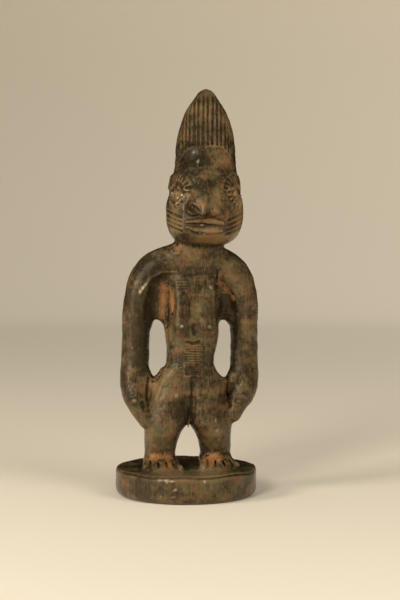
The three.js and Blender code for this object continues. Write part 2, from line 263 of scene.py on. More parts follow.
# Height, distance from the middle, y, half width and half depth.
LEG = [
    [-1, 17.9, 3, 10.2, 10.5],
    [7, 18, 2.5, 10, 10],
    [14.5, 17.6, 0.8, 10.7, 11],
    [22, 16.2, -1, 12.1, 12.2],
    [28, 14.4, -1, 14.5, 13.4],
    [35, 13, 0.3, 15, 14.4],
    [45, 12, 1.6, 14.2, 14.6],
    [54, 10.5, 1.6, 12.2, 13.2],
    [63, 8, 1, 9.2, 11],
]
TOES = 5


def midline(z):
    return float(along(MIDLINE, z)[0])


def add_trunk(wood):
    wood.add(column([[z, midline(z), *rest] for z, *rest in TORSO], TORSO_POWER))
    armpits = [
        [92.5, ARM_MIDDLE, 5.5, 21, 4],
        [96, ARM_MIDDLE, 5.5, 26, 6.5],
        [112, ARM_MIDDLE, 5, 28, 8],
        [126, ARM_MIDDLE, 4.5, 24, 9],
    ]
    wood.add(column(armpits, 3, soft=3), 4)
    breastbone = [
        [84, -7.5, 10.5, 3.5],
        [88, -8, 12, 4.5],
        [105, -7, 12, 5],
        [120, -5, 12, 4.5],
        [130, -2, 11, 4],
    ]
    wood.add(column([[z, midline(z) + 1, *rest] for z, *rest in breastbone], 2.6, soft=3), 3)
    neck = [
        [124, 4.5, 2.5, 18, 11],
        [132, 5.5, 1, 21, 12.5],
        [140, 6, -1, 18.5, 13.5],
        [144, 8, -2, 16, 14],
        [152, 10, -3, 14, 14.5],
    ]
    wood.add(column(neck), 5)


def add_breasts(wood):
    """Long flat breasts, squared at their edges, each with its nipple low down."""
    right = [
        [83.5, -4.6, -9, 2.6, 2.8],
        [87, -4.8, -9.8, 3.8, 4.2],
        [91, -4.7, -10, 4.4, 4.7],
        [98, -4, -9.4, 4.5, 4.5],
        [106, -3.6, -8.6, 4.6, 4],
        [117, -3.6, -6.5, 4.4, 3.5],
        [126, -3.2, -3.8, 4, 2.8],
    ]
    left = [
        [83.5, 12.6, -8.4, 3.2, 3],
        [87, 12.4, -9.6, 5.2, 4.4],
        [91, 12.2, -10, 6, 4.7],
        [98, 11.9, -9.4, 6.3, 4.4],
        [106, 11.9, -8.6, 6.3, 4],
        [117, 12, -6.5, 5.6, 3.5],
        [126, 12.2, -3.8, 4.8, 2.8],
    ]
    for plank, nipple in ((right, [-4.8, -14.9, 90.6]), (left, [13.4, -15, 90])):
        wood.add(column(plank, 2.8, soft=1.5), 1.2)
        wood.add(egg(nipple, [1.9, 1.5, 2]), 0.8)


def add_arms(wood):
    """Each arm hangs clear of the waist and ends in a plain wedge on the thigh."""
    for side in SIDES:
        def x(out):
            return ARM_MIDDLE + side * out
        drift = SHOULDER_DRIFT if side > 0 else 0
        lift = HAND_LIFT if side > 0 else 0
        spread = HAND_SPREAD if side < 0 else 0
        bone = [
            [x(5 + drift), 3, 132, 10.5, 10.5],
            [x(13.2 + drift), 3.3, 130.6, 11.5, 10.8],
            [x(21.6 + drift), 3.6, 127, 11.6, 11],
            [x(27.3 + drift), 4, 121.8, 11.2, 10.8],
            [x(31 + drift), 4.4, 114.8, 10.5, 10.5],
            [x(33.4 + 0.8 * drift), 4.8, 105, 9.9, 10.2],
            [x(34.8), 5.2, 94, 9.4, 9.8],
            [x(35.2), 5.6, 80, 9.1, 9.6],
            [x(35 + 0.6 * spread), 5, 66, 9.2, 9.4],
            [x(34.6 + spread), 3, 54, 9.8, 9.2],
            [x(34 + spread - 0.3 * lift), 0.3, 45 + 0.5 * lift, 8.5, 8.8],
            [x(31 + spread - 0.5 * lift), -2.6, 37.5 + lift, 7.2, 7.8],
            [x(28 + spread - 0.5 * lift), -4.6, 30.5 + lift, 5.4, 6],
        ]
        wood.add(limb(bone, pieces=60), 2)
    hands = (([-34, -7.4, 43], [-28.9, -10.4, 41.3]), ([35.5, -8, 44.4], [31.3, -11, 43]))
    for knuckle, pit in hands:
        wood.add(egg(knuckle, [3.1, 3, 2.8]), 0.8)
        wood.carve(egg(pit, [2, 2.4, 2.2]), 0.8)


def add_legs(wood):
    for side in SIDES:
        table = [[z, LEG_MIDDLE + side * out, *rest] for z, out, *rest in LEG]
        wood.add(column(table), 2.5)
        wood.add(egg([LEG_MIDDLE + side * 10.5, 9, 43], [12, 9, 13]), 5)
        add_foot(wood, side)
    crotch = [[1.6, -5.2, 57, 5, 5], [1.5, -5, 46, 5, 5], [1.3, -3.6, 34, 4, 4.5]]
    wood.add(limb(crotch), 4)


def add_foot(wood, side):
    def x(out):
        return LEG_MIDDLE + side * out
    sole = [
        [x(17.4), 14.5, 1.5, 6, 4],
        [x(17.8), 8, 3, 9.2, 6],
        [x(18), 0, 3.4, 10.6, 6.4],
        [x(18.3), -8, 2.2, 11.8, 4.8],
        [x(18.6), -15.5, 0.8, 12.6, 3],
    ]
    wood.add(limb(sole, deep_axis=(0, 0, 1)), 3)
    for toe in range(TOES):
        across = toe - (TOES - 1) / 2
        width = 3 if toe == 0 else 2.3
        tip = [x(18.5 + across * 5.1), -15 + toe * 0.7, 1.4]
        wood.add(egg(tip, [width, 6.5, 2.8], (0, 0, side * across * 0.09)), 0.5)
    for gap in range(1, TOES):
        across = gap - TOES / 2
        place = [x(18.3 + across * 4.9), -14.5 + gap * 0.7, 3.4]
        wood.carve(egg(place, [0.4, 7, 1.3], (0.22, 0, side * across * 0.09)), 1.2)


# Head, worked out upright and facing -Y, then turned and set over the neck

HEAD_TURN = math.radians(-8.5)
HEAD_X = 11.9
# Height, y of the middle, half width and half depth.
HEAD = [
    [141, -5, 9, 11],
    [143, -6.6, 15.5, 16.5],
    [146, -7.8, 19.6, 21],
    [150, -8.8, 22.4, 24.2],
    [154, -9, 23.8, 25.8],
    [160, -8.8, 24.6, 26.8],
    [168, -8, 24.5, 27],
    [176, -7, 22.5, 26.5],
    [183, -5.5, 21.3, 25.5],
    [190, -3.5, 20, 24.3],
    [197, -1.5, 19, 23.2],
    [204, 0, 18.4, 22.2],
    [211, 1.5, 17.3, 20.5],
    [218, 3, 15.7, 18.4],
    [225, 4.2, 13.1, 15.2],
    [232, 5.2, 9.1, 11],
    [237, 5.8, 5.7, 6.8],
    [240.5, 6, 3.2, 3.5],
    [242, 6, 0.8, 0.8],
]
HEAD_POWER = 2.3
HEAD_LEAN = 0.01  # sideways for each unit of height, towards the figure's left
CHIN = HEAD[0][0]
TIP = HEAD[-1][0]
HAIRLINE_FRONT = 203.5
HAIRLINE_SIDE = 193.5
HAIRLINE_NAPE = 174
HAIR_RADIUS = 20.0  # of the head where the flutes start
FLUTES = 42
FLUTE_DEPTH = 1.3
HAIR_PROUD = 0.9  # how far the hair stands out from the head, high up
FACE_RADIUS = 24.0  # turns angles round the face into lengths

EYE_HEIGHT = 175.0
EYE_RISE = 9.0
EYE_DROP = 8.3
UPPER_LASHES = 22  # in a full turn round the eye
LOWER_LASHES = 18
# The angle of the middle, half the length, and the angle and radius of the pupil, of each eye.
EYES = {-1: (0.84, 9.8, 1.12, 1.0), 1: (0.95, 9.6, 0.88, 1.7)}
EAR_HEIGHT = 182.0
# The angle of each ear, and how far its rim stands out.
EARS = {-1: (1.62, 1.9), 1: (1.9, 1.4)}
SCAR_COUNT = 4  # on each cheek
SCAR_ANGLE = 0.84  # where the height of the top one is taken
# That height, the step down to the next, the rise for each radian and the depth.
SCARS = {-1: (161.4, 2.9, 6.5, 1.5), 1: (159.8, 3.1, 8.0, 1.3)}
MOUTH_ANGLE = 0.42  # from the middle to a corner


def hairline(angle):
    """High over the forehead, lower above the ears and lowest at the nape."""
    turn = np.abs(angle)
    side = (HAIRLINE_FRONT - HAIRLINE_SIDE) * ease(0.35, 1.15, turn)
    nape = (HAIRLINE_SIDE - HAIRLINE_NAPE) * ease(1.6, 2.8, turn)
    return HAIRLINE_FRONT - side - nape


def flute_relief(across, angle, z):
    """Narrow grooves between broad ridges, upright in front and towards the tip elsewhere."""
    wander = 0.2 * np.sin(z / 9 + across) + 0.15 * np.sin(z / 4 + 2.3 * across)
    turn = np.arcsin(np.clip((across + wander) / HAIR_RADIUS, -1, 1))
    turn = turn + ease(0.7, 2.7, np.abs(angle)) * (angle - turn)
    phase = turn * FLUTES / math.tau
    from_ridge = np.abs(phase - np.round(phase)) * 2
    return ease(2, 9, TIP - z) * FLUTE_DEPTH * from_ridge**2.6


def eye_relief(angle, z, middle, half_length, pupil_angle, pupil):
    """A bulging eye under a heavy lid, with a comb of lashes above and another below."""
    across = (angle - middle) * FACE_RADIUS
    up = z - EYE_HEIGHT
    turn = np.arctan2(up, across)
    share = np.clip(np.abs(across) / half_length, 0, 1)

    # The upper comb, with a low ridge over it.
    above = ease(-0.5, 0.5, up)
    upper = ellipsoid_distance((across, up), (half_length, EYE_RISE))
    gaps = (0.5 + 0.5 * np.cos(turn * UPPER_LASHES)) ** 1.2
    relief = above * (0.6 * bump(upper, 3.2) - 1.7 * bump(upper - 0.7, 2.1) * gaps)
    relief += above * 0.55 * bump(upper - 3.6, 1.7)

    # The lower comb.
    below = (1 - above) * ease(0, 0.12, 1 - share)
    lower = (-up - EYE_DROP * (1 - share**1.5)) / np.hypot(1, share**0.5)
    gaps = (0.5 + 0.5 * np.cos(turn * LOWER_LASHES)) ** 1.4
    relief += below * (0.9 * bump(lower, 2.2) - 1.7 * bump(lower - 0.3, 2.0) * gaps)

    # The ball between the lids, with rings round its pupil.
    lid_edge = 1.0 + 2.4 * bump(across - 2, 8)
    lid_edge = lid_edge * ease(0, 0.15, 1 - share)
    inside = ease(-0.2, 0.4, lid_edge - up) * ease(-0.2, 0.6, EYE_DROP * (1 - share**1.5) - 1.3 + up)
    ball = np.sqrt(np.clip(1 - (across / half_length) ** 2 - ((up + 2) / 6.6) ** 2, 0, 1))
    to_pupil = np.hypot((angle - pupil_angle) * FACE_RADIUS, up + 0.5)
    mark = 1.4 * bump(to_pupil - pupil - 0.9, 0.9) - 0.6 * bump(to_pupil, pupil + 0.4)
    mark += 0.9 * bump(to_pupil - 5, 0.9)
    lid = ease(0, 0.15, 1 - share) * bump(up - lid_edge - 1.6, 2.2)
    return relief + inside * (1.9 * ball - 2.3 - mark) + 0.9 * lid


def scar_relief(angle, z, top, step, rise, depth):
    """Cuts on a cheek, which rise towards the ear."""
    within = ease(0.55, 0.62, angle) * ease(0, 0.1, 1.35 - angle)
    row = top + rise * (angle - SCAR_ANGLE) - z
    last = SCAR_COUNT - 1
    nearest = np.clip(np.round(row / step), 0, last)
    ridges = bump(row - last / 2 * step, 2.3 * step)
    return within * (0.5 * ridges - depth * bump(row - nearest * step, 1.15))


def ear_relief(angle, z, place, proud):
    """A small ear close to the head: a raised rim round a hollow."""
    across = (angle - place) * FACE_RADIUS
    up = z - EAR_HEIGHT
    from_middle = np.hypot(across / 3.0, up / 4.6)
    return proud * bump((from_middle - 0.7) * 3.4, 2.4) - 0.6 * bump(from_middle, 0.7)


def head_distance(x, y, z):
    """The head with its hair, eyes, ears and scars, before the nose and the lips are put on."""
    cos, sin = math.cos(HEAD_TURN), math.sin(HEAD_TURN)
    local_x = (x - HEAD_X) * cos + y * sin
    local_y = y * cos - (x - HEAD_X) * sin
    middle_y, half_width, half_depth = along(HEAD, z)
    across, deep = local_x - HEAD_LEAN * (z - CHIN), local_y - middle_y
    wall = wall_distance(across, deep, half_width, half_depth, HEAD_POWER)
    angle = np.arctan2(across, -deep)
    over_hairline = z - hairline(angle)
    shallow = 1 - 0.5 * ease(0.7, 1, np.abs(across) / half_width)
    proud = HAIR_PROUD * ease(0, 4, TIP - z) * (0.3 + 0.7 * ease(190, 206, z))
    flutes = ease(0.3, 1.5, over_hairline) * shallow * flute_relief(across, angle, z)
    relief = ease(-0.3, 0.4, over_hairline) * proud - flutes
    for side in SIDES:
        turned = side * angle
        relief = relief + eye_relief(turned, z, *EYES[side]) + scar_relief(turned, z, *SCARS[side])
        relief = relief + ear_relief(turned, z, *EARS[side])
    ends = np.abs(z - (CHIN + TIP) / 2) - (TIP - CHIN) / 2
    return smooth_max(wall - relief, ends, 1)


def on_head(stations):
    """Stations in the head's own frame, set in the block's frame."""
    turn = np.array(Matrix.Rotation(HEAD_TURN, 3, "Z"))
    return [[*(turn @ row[:3] + (HEAD_X, 0, 0)), *row[3:]] for row in np.array(stations, float)]


def face_point(angle, z, proud=0.0):
    """A point on the face at an angle from the front, positive towards the figure's left."""
    middle_y, half_width, half_depth = along(HEAD, z)
    across, deep = math.sin(angle), -math.cos(angle)
    share = abs(across / half_width) ** HEAD_POWER + abs(deep / half_depth) ** HEAD_POWER
    out = share ** (-1 / HEAD_POWER) + proud
    return [HEAD_LEAN * (z - CHIN) + out * across, middle_y + out * deep, z]


def add_head(wood):
    low = np.array([HEAD_X - 28, -38, CHIN])
    high = np.array([HEAD_X + 28, 28, TIP])
    wood.add(Shape(low, high, head_distance), 1.5)
    add_nose(wood)
    add_lips(wood)


def add_nose(wood):
    """A broad nose, with a narrow bridge and round wings, one of them hollowed from the front."""
    ridge = [
        [0.9, -25.5, 189, 1.8, 2],
        [1.2, -29.6, 182, 2, 2.8],
        [1.3, -32.8, 175, 2.2, 3.7],
        [0.9, -35.8, 168, 2.1, 4.4],
        [0.4, -37.2, 163, 1.9, 3.4],
    ]
    flank = [
        [1.8, -31.4, 179, 1.8, 2.4],
        [3.2, -33.6, 172, 3, 3.6],
        [5.2, -34.8, 166, 4.2, 4.4],
    ]
    for side in SIDES:
        wood.add(limb(on_head([[side * out - 0.9, *rest] for out, *rest in ridge])), 2)
        wood.add(limb(on_head([[side * out - 0.8, *rest] for out, *rest in flank])), 3)
        [wing] = on_head([[side * 6.8 - 0.6, -34.4, 164]])
        wood.add(egg(wing, [4.4, 5.2, 3.9]), 0.8)
    [nostril] = on_head([[-7.4, -39.4, 165]])
    wood.carve(egg(nostril, [5.4, 3.6, 2.3], (0, 0.6, -0.35)), 0.9)
    [underside] = on_head([[-0.9, -40, 157.2]])
    wood.carve(egg(underside, [9, 5, 2.4]), 1.5)


def along_mouth(corner_z, middle_z, tilt, proud, sizes):
    """Stations from one corner of the mouth to the other, thickest at the middle."""
    shares = np.array([-1, -0.5, 0, 0.5, 1])
    heights = middle_z + (corner_z - middle_z) * shares**2 - tilt * shares
    route = [face_point(share * MOUTH_ANGLE, z, proud) for share, z in zip(shares, heights)]
    corner, quarter, middle = sizes
    sizes = (corner, quarter, middle, quarter, corner)
    return on_head([[*point, *size] for point, size in zip(route, sizes)])


def add_lips(wood):
    upright = (0, 0, 1)
    for corner_z, middle_z, tilt in ((156.2, 157.4, 0.3), (152.4, 151.4, 1.2)):
        lip = along_mouth(corner_z, middle_z, tilt, 0.2, ([1.4, 1.3], [2.2, 1.9], [2.5, 2.1]))
        wood.add(limb(lip, upright), 0.8)
    for corner_z, middle_z, tilt, size in ((154.3, 154.4, 1.0, 1.2), (150, 148.3, 1.4, 1.6)):
        groove = along_mouth(corner_z, middle_z, tilt, 1.0, ([0.7, 0.6], [size, 0.8], [size, 0.9]))
        wood.carve(limb(groove, upright), 0.5)


# Base

def add_base(wood):
    """A thick disc, with a worn upper edge, a crack under it in front and a rounder lower edge."""
    def distance(x, y, z):
        wall = np.hypot(x, y) - BASE_RADIUS
        rounded_below = smooth_max(wall, -z - BASE_THICKNESS, 5.5)
        front = ease(-0.15, 0.35, np.cos(np.arctan2(x + 14, -y)) - 0.35)
        crack = front * ease(-4, -2.5, wall) * bump(z + 1.5 + 0.3 * np.sin(x / 5), 0.9)
        return smooth_max(rounded_below, z + 0 * wall, 2.8) + crack

    low = np.array([-BASE_RADIUS, -BASE_RADIUS, -BASE_THICKNESS])
    high = np.array([BASE_RADIUS, BASE_RADIUS, 0])
    wood.add(Shape(low, high, distance), 2.5)


# Cuts in the front of the body

BODY_FRONT = -22.0  # a y in front of the whole body
# The height of the top stroke, the step down to the next, and how many there are.
LADDER = (77.5, 1.6, 12)
CHEST_STROKES = (119.6, 1.7, 4)
# A route of [x, z], a width, a depth, negative where wood stands proud, and a reach.
FRONT_CUTS = [
    # The navel, the hollow between the nipples and a crack beside the left breast.
    ([[-1.1, 80.8], [2.7, 79.6], [6.6, 80.6]], 1.3, 1.3, 8),
    ([[3.4, 91], [4.1, 86.4]], 2.6, 1.2, 8),
    ([[19.2, 125], [19.5, 117.5]], 0.7, 1.3, 12),
    # A line beside the right breast, a fold of the right thigh and a line on the left breast.
    ([[-12.3, 117], [-12, 106], [-12.6, 97]], 0.9, 0.7, 12),
    ([[-17, 41], [-10, 41.5], [0, 45.5]], 3, 0.6, 9),
    ([[15.1, 114], [14.6, 92]], 0.6, 0.3, 8),
    # The rims of the hollows under the shoulders.
    ([[-30.5, 110.5], [-28.8, 113.5], [-24, 120.5], [-15.7, 124.9], [-7, 125]], 1.4, -1, 9),
    ([[20.5, 119], [26.5, 114], [33, 104.7]], 1.4, -0.7, 9),
    # A ridge down the right hip and thigh, and the groove beside it.
    ([[-11, 75], [-17, 54], [-23, 38]], 1.7, -0.5, 9),
    ([[-15.5, 74], [-21.5, 53], [-27, 38]], 4.5, 1, 9),
    # Between the thighs.
    ([[3.4, 57], [3.2, 48], [2.4, 38], [1.6, 30]], 3.2, 1.3, 12),
    ([[2.6, 54], [2.2, 44], [1.4, 31]], 1, 0.8, 12),
    ([[6.3, 57], [6, 48], [5, 36]], 1.6, -0.4, 9),
    # Between each hand and its thigh.
    ([[-25, 57], [-26, 47], [-25.5, 37]], 1.8, 1, 12),
    ([[27, 57], [26.5, 48], [27.5, 39]], 1.6, 0.9, 12),
]


def front_cut(wood, route, width, depth, reach=8):
    """A cut along a route in the front of the body, as far back as the reach allows."""
    points = np.array(route, float)
    low = [points[:, 0].min() - width, BODY_FRONT, points[:, 1].min() - width]
    high = [points[:, 0].max() + width, BODY_FRONT + 2 * reach, points[:, 1].max() + width]

    def cut_depth(x, y, z):
        nearest = FAR
        for (x0, z0), (x1, z1) in zip(points[:-1], points[1:]):
            run_x, run_z = x1 - x0, z1 - z0
            share = ((x - x0) * run_x + (z - z0) * run_z) / (run_x**2 + run_z**2)
            share = np.clip(share, 0, 1)
            nearest = np.minimum(nearest, np.hypot(x - x0 - share * run_x, z - z0 - share * run_z))
        return depth * bump(nearest, width) + 0 * y

    wood.press(low, high, cut_depth)


def heights(top, step, count):
    return [top - step * i for i in range(count)]


def cut_front(wood):
    """The ladder of strokes under the navel, the strokes on the chest, and the single cuts."""
    front_panel(wood, across=[-2.9, 8.9], upright=[58, 78.5], height=0.6)
    for i, z in enumerate(heights(*LADDER)):
        front_cut(wood, [[-2.6 + 0.4 * (i % 3), z + 0.3], [8.2 - 0.4 * (i % 2), z]], 0.8, 0.8)
    for z in heights(*CHEST_STROKES):
        front_cut(wood, [[-6.8, z], [0.4, z + 0.2]], 0.7, 0.6)
    for cut in FRONT_CUTS:
        front_cut(wood, *cut)


def add_splinter(wood):
    """A thorn of wood left hanging between the thighs."""
    wood.add(limb([[1.4, -6, 33, 1.1, 1.1], [0.4, -6.8, 25.4, 0.7, 0.7]], pieces=4), 0.5)


def front_panel(wood, across, upright, height):
    """Raises a rectangle on the front of the body."""
    def rise(x, y, z):
        inside = ease(-0.4, 0.4, x - across[0]) * ease(-0.4, 0.4, across[1] - x)
        return -height * inside * ease(-0.4, 0.4, z - upright[0]) * ease(-0.4, 0.4, upright[1] - z) + 0 * y

    low = [across[0] - 1, BODY_FRONT, upright[0] - 1]
    high = [across[1] + 1, -4, upright[1] + 1]
    wood.press(low, high, rise)


def scoop_armpits(wood):
    """A hollow under the front of each shoulder, between the arm and the chest."""
    right = [
        [-14.5, -13, 122, 4, 6],
        [-17.2, -12, 114.5, 8.5, 10.5],
        [-18.4, -11, 105, 9.6, 12],
        [-19, -8.5, 95, 8.5, 10.5],
        [-19.4, -6, 86, 5, 7],
    ]
    left = [
        [20.6, -13, 119, 2.4, 6],
        [23.4, -12, 112.5, 5.4, 10],
        [25.8, -11, 104, 6.8, 12],
        [26, -8.5, 95, 6.4, 10.5],
        [25.6, -6, 86, 4, 7],
    ]
    wood.carve(limb(right, pieces=24), 1.8)
    wood.carve(limb(left, pieces=24), 1.8)


def round_loops(wood):
    """Wood left in the outer corners of the gaps between the arms and the waist."""
    corners = (
        ([-25, 4.5, 94], [4.5, 5, 6.5]),
        ([29.6, 4.5, 96.5], [4, 5, 6]),
        ([-26.5, 1.5, 57], [5, 6, 6]),
        ([31.3, 1.5, 56], [5, 6, 6]),
    )
    for middle, halves in corners:
        wood.add(egg(middle, halves), 3)


# Skin

def surface(distance):
    """The vertices, in cells, and the four-sided faces of the surface where the distance is 0."""
    inside = distance < 0
    steps = list(itertools.product((0, 1), repeat=3))
    size = np.array(distance.shape) - 1
    corners = {step: inside[tuple(slice(s, s + n) for s, n in zip(step, size))] for step in steps}
    count = sum(corner.astype(np.uint8) for corner in corners.values())
    crossed = (count > 0) & (count < 8)
    cells = np.argwhere(crossed)
    number = np.full(size, -1, np.int32)
    number[crossed] = np.arange(len(cells))
    total = np.zeros((len(cells), 3))
    hits = np.zeros(len(cells))
    for start, end in itertools.combinations(steps, 2):
        if sum(a != b for a, b in zip(start, end)) != 1:
            continue
        a = distance[tuple((cells + start).T)]
        b = distance[tuple((cells + end).T)]
        across = (a < 0) != (b < 0)
        share = a / np.where(across, a - b, 1)
        point = np.array(start) + share[:, None] * (np.array(end) - start)
        total[across] += point[across]
        hits += across
    faces = []
    for axis, ahead in enumerate([(1, 0, 0), (0, 1, 0), (0, 0, 1)]):
        first, second = (axis + 1) % 3, (axis + 2) % 3
        change = np.argwhere(corners[0, 0, 0] != corners[ahead])
        change = change[(change[:, [first, second]] > 0).all(axis=1)]
        back = np.zeros((4, 3), int)
        back[:, first] = (0, -1, -1, 0)
        back[:, second] = (0, 0, -1, -1)
        quads = number[tuple(np.moveaxis(change[:, None] + back, -1, 0))]
        outward = inside[tuple(change.T)]
        faces.append(np.where(outward[:, None], quads, quads[:, ::-1]))
    return cells + total / hits[:, None], np.vstack(faces)


def wear(points):
    """How far handling has taken the surface in: shallow knife facets, softened."""
    rng = np.random.default_rng(7)
    total = np.zeros(len(points))
    for wavelength, height in ((18, 0.16), (9, 0.09), (4.5, 0.04)):
        for _ in range(6):
            direction = rng.normal(size=3)
            direction *= math.tau / wavelength / np.linalg.norm(direction)
            total += height * np.sin(points @ direction + rng.uniform(0, math.tau)) / 2
    off_underside = ease(0, 1.5, points[:, 2] + BASE_THICKNESS)
    return WEAR_DEPTH * off_underside * (1 + np.tanh(total / WEAR_DEPTH))


def carve_block():
    edge = BASE_RADIUS + GRID_ROOM
    low = [-edge, -edge, -BASE_THICKNESS - GRID_ROOM]
    wood = Block(low, [ELBOW_REACH + GRID_ROOM, edge, TIP + GRID_ROOM])
    for step in (add_trunk, add_breasts, add_arms, add_legs, scoop_armpits, round_loops, cut_front,
                 add_splinter, add_head, add_base):
        step(wood)
    return wood


def in_scene(name, data):
    item = bpy.data.objects.new(name, data)
    bpy.context.scene.collection.objects.link(item)
    return item


def mesh_object(wood):
    cells, faces = surface(wood.distance)
    points = wood.low + cells * CELL
    mesh = bpy.data.meshes.new("carving")
    mesh.vertices.add(len(points))
    mesh.vertices.foreach_set("co", points.ravel())
    mesh.loops.add(faces.size)
    mesh.loops.foreach_set("vertex_index", faces.ravel())
    mesh.polygons.add(len(faces))
    mesh.polygons.foreach_set("loop_start", np.arange(0, faces.size, 4))
    mesh.update(calc_edges=True)
    return in_scene("carving", mesh)


def vectors(mesh, what, name):
    """A property of all vertices, as rows of x, y and z."""
    values = np.empty(len(mesh.vertices) * 3, np.float32)
    getattr(mesh, what).foreach_get(name, values)
    return values.reshape(-1, 3)


FACE_TOP = 192
FACE_BACK = -6  # a y behind the eyes


def thin_out(piece):
    """Merges faces where the surface is flat, but not on the face, until few enough are left."""
    triangles = sum(len(face.vertices) - 2 for face in piece.data.polygons)
    thin = piece.modifiers.new("thin", "DECIMATE")
    thin.ratio = min(1, MOST_TRIANGLES / triangles)
    points = vectors(piece.data, "vertices", "co")
    on_face = (points[:, 2] > CHIN + 2) & (points[:, 2] < FACE_TOP) & (points[:, 1] < FACE_BACK)
    plain = piece.vertex_groups.new(name="plain")
    plain.add(np.flatnonzero(~on_face).tolist(), 1, "REPLACE")
    thin.vertex_group = plain.name
    evaluated = piece.evaluated_get(bpy.context.evaluated_depsgraph_get())
    mesh = bpy.data.meshes.new_from_object(evaluated)
    piece.modifiers.clear()
    piece.data = mesh


def blurred(field, reach):
    """The mean of a field over a box of the given reach round each cell."""
    width = 2 * reach + 1
    for axis in range(3):
        rolled = np.moveaxis(field, axis, 0)
        padded = np.pad(rolled, [(reach + 1, reach), (0, 0), (0, 0)], "edge")
        total = np.cumsum(padded, axis=0, dtype=np.float64)
        field = np.moveaxis((total[width:] - total[:-width]) / width, 0, axis).astype(np.float32)
    return field


COARSE = 4  # cells to a step of the coarser grid
SPOT_DEPTH = 1.8  # the least reach of a spot into the wood


def masks(wood, points):
    """How hollow the surface is at each point, close by and from further off, and how strong the
    spots of each table are there."""
    solid = np.clip(0.5 - wood.distance / CELL, 0, 1)
    close = blurred(blurred(solid, 2), 1)
    far = blurred(blurred(solid[::COARSE, ::COARSE, ::COARSE], 3), 2)
    found = {
        "hollow": wood.sample(close, points) - 0.5,
        "shelter": wood.sample(far, points, COARSE) - 0.5,
    }
    for name, spots in (("dust", DUST), ("soot_and_shading", SOOT_AND_SHADING), ("warm", WARM), ("pale", PALE_AND_HIGHLIGHTS)):
        total = np.zeros(len(points))
        for x, y, z, across, upright, strength in spots:
            offset = (points - (x, y, z)) / (across, max(across, SPOT_DEPTH), upright)
            total = total + strength * bump(np.linalg.norm(offset, axis=1), 1)
        found[name] = total
    return found


# Spots of colour. Each is x, y, z, reach across, reach up and down, and strength.

# Where red dust has stayed.
DUST = [
    [-14.5, -1, 112, 7, 14, 1.2], [-10.5, -5, 105, 4, 20, 1.3],
    [-8.8, -6.5, 106, 2.4, 14, 1.5], [-15.5, 1, 99, 6, 13, 1.1],
    [-13, -3, 83, 6, 17, 1.4], [21.5, -3.5, 117.5, 5, 5, 1.2],
    [26, -2, 113, 5, 6, 1.4], [30, -2.5, 108, 4.5, 5, 1.4],
    [-7, -10, 139, 11, 9, 1.2], [-20, -4, 62, 9, 14, 1],
    [27, -4, 60, 8, 14, 1], [4, -14, 60, 6, 6, 0.8],
    [4.4, -13, 44, 3.4, 19, 1.3], [-12, -9, 7, 9, 8, 1.4],
    [-22, -8, 8, 8, 5, 1.2], [-14, -18, 3, 9, 6, 1.3],
    [10, -10, 5, 12, 9, 1.3], [14, -17, 3, 9, 6, 1.2],
    [19, -12, 7, 9, 8, 1.4], [-24, -12, 5, 10, 8, 1],
    [-42, -17, -7, 10, 6, 1.4], [9, -12.8, 86.3, 4, 4, 0.9],
    [3.5, -12, 88.5, 5, 5, 0.6], [-12, -22, 157, 9, 8, 0.7],
    [10, -34, 152, 8, 4, 0.5], [-36, -5, 46, 9, 8, 0.6],
    [36, -7, 52, 9, 16, 0.7],
]

# Where smoke and oil have blackened the wood, or, with a negative strength, where it is clean. Some spots
# are painted shade instead, and some negative ones painted light, as marked below.
SOOT_AND_SHADING = [
    # Painted shade on the inner sides of the arms and in the armpits, in this line and the next two.
    [-24, -1, 85, 8, 34, 1.6], [-30, -4, 88, 7, 38, 0.9],
    [32, -4, 84, 6, 32, 0.7], [-26, -2, 108, 6, 16, 1.2],
    [29, -1, 88, 8, 32, 1.6], [26, 0, 103, 7, 12, 1.2],
    # These two darken the right nostril.
    [-0.4, -35, 164.6, 5, 4, 1.3], [-4, -34, 166, 3.6, 4, 1.1],
    [24, -8, 215, 9, 26, -0.9], [-9.3, -21.3, 179.1, 3.6, 2.2, 0.8],
    [-6.3, -27, 177.7, 3.6, 2.2, 0.9], [27, -24, 178.5, 5, 3, 0.6],
    # Painted shade in the mouth's slit and in the groove under the lower lip.
    [6, -36.5, 154.6, 8, 1.4, 0.6], [2, -34.5, 149.4, 7, 2, 0.9],
    [11, -36, 152, 14, 3, -0.7], [-24, -6, 127, 18, 12, 1.1],
    [-3.6, -13, 107, 6, 22, 0.4], [10, -12, 102, 9, 24, -0.25],
    [5, -13, 101, 5, 9, -0.5], [2, -22, 195, 12, 16, 1.7],
    [20, -24, 196, 12, 14, -0.7], [12, 0, 228, 24, 32, -0.3],
    [5, -34, 177, 4.5, 11, 0.5], [13, -34, 170, 7, 12, -1.3],
    [38, -5, 90, 8, 40, -0.1], [26, -6, 126, 13, 14, -0.4],
    [-16, -12, 22, 14, 26, -0.4], [18, -12, 20, 14, 26, -0.5],
    # The second spot is a painted reflection, lightening the front of the base's top.
    [-10, -42, -10, 32, 14, -0.15], [0, -34, 0, 34, 6, -1.1],
    [3, -13, 82, 14, 7, -0.3], [-10, -12, 49, 12, 12, -0.6],
    # The second spot is painted shade under the fold of the right thigh.
    [12, -12, 48, 12, 16, -0.3], [-4, -11, 34, 9, 11, 1],
    # Painted shade in the right hand's pit, then painted light on the underside of the chin.
    [-28.9, -9, 41.3, 3.5, 3.5, 1], [14, -32, 145, 15, 7, -2.6],
    [-5, -25, 148, 8, 6, 0.9], [27, -20, 160, 14, 17, -1.9],
    [-12, -22, 158, 10, 12, -1.3], [-11, -18, 174, 11, 11, -0.6],
    [-12.3, -6, 173, 4, 10, 0.8], [28.5, -21, 174, 13, 12, -0.8],
    # Painted shade in the right armpit and on the inner side of the right arm.
    [-22, -1, 107, 6, 12, 1], [-25, -1.5, 92, 7, 22, 1],
    [2, -9, 138, 14, 9, -0.3], [-20, -8, 48, 10, 18, -0.3],
]

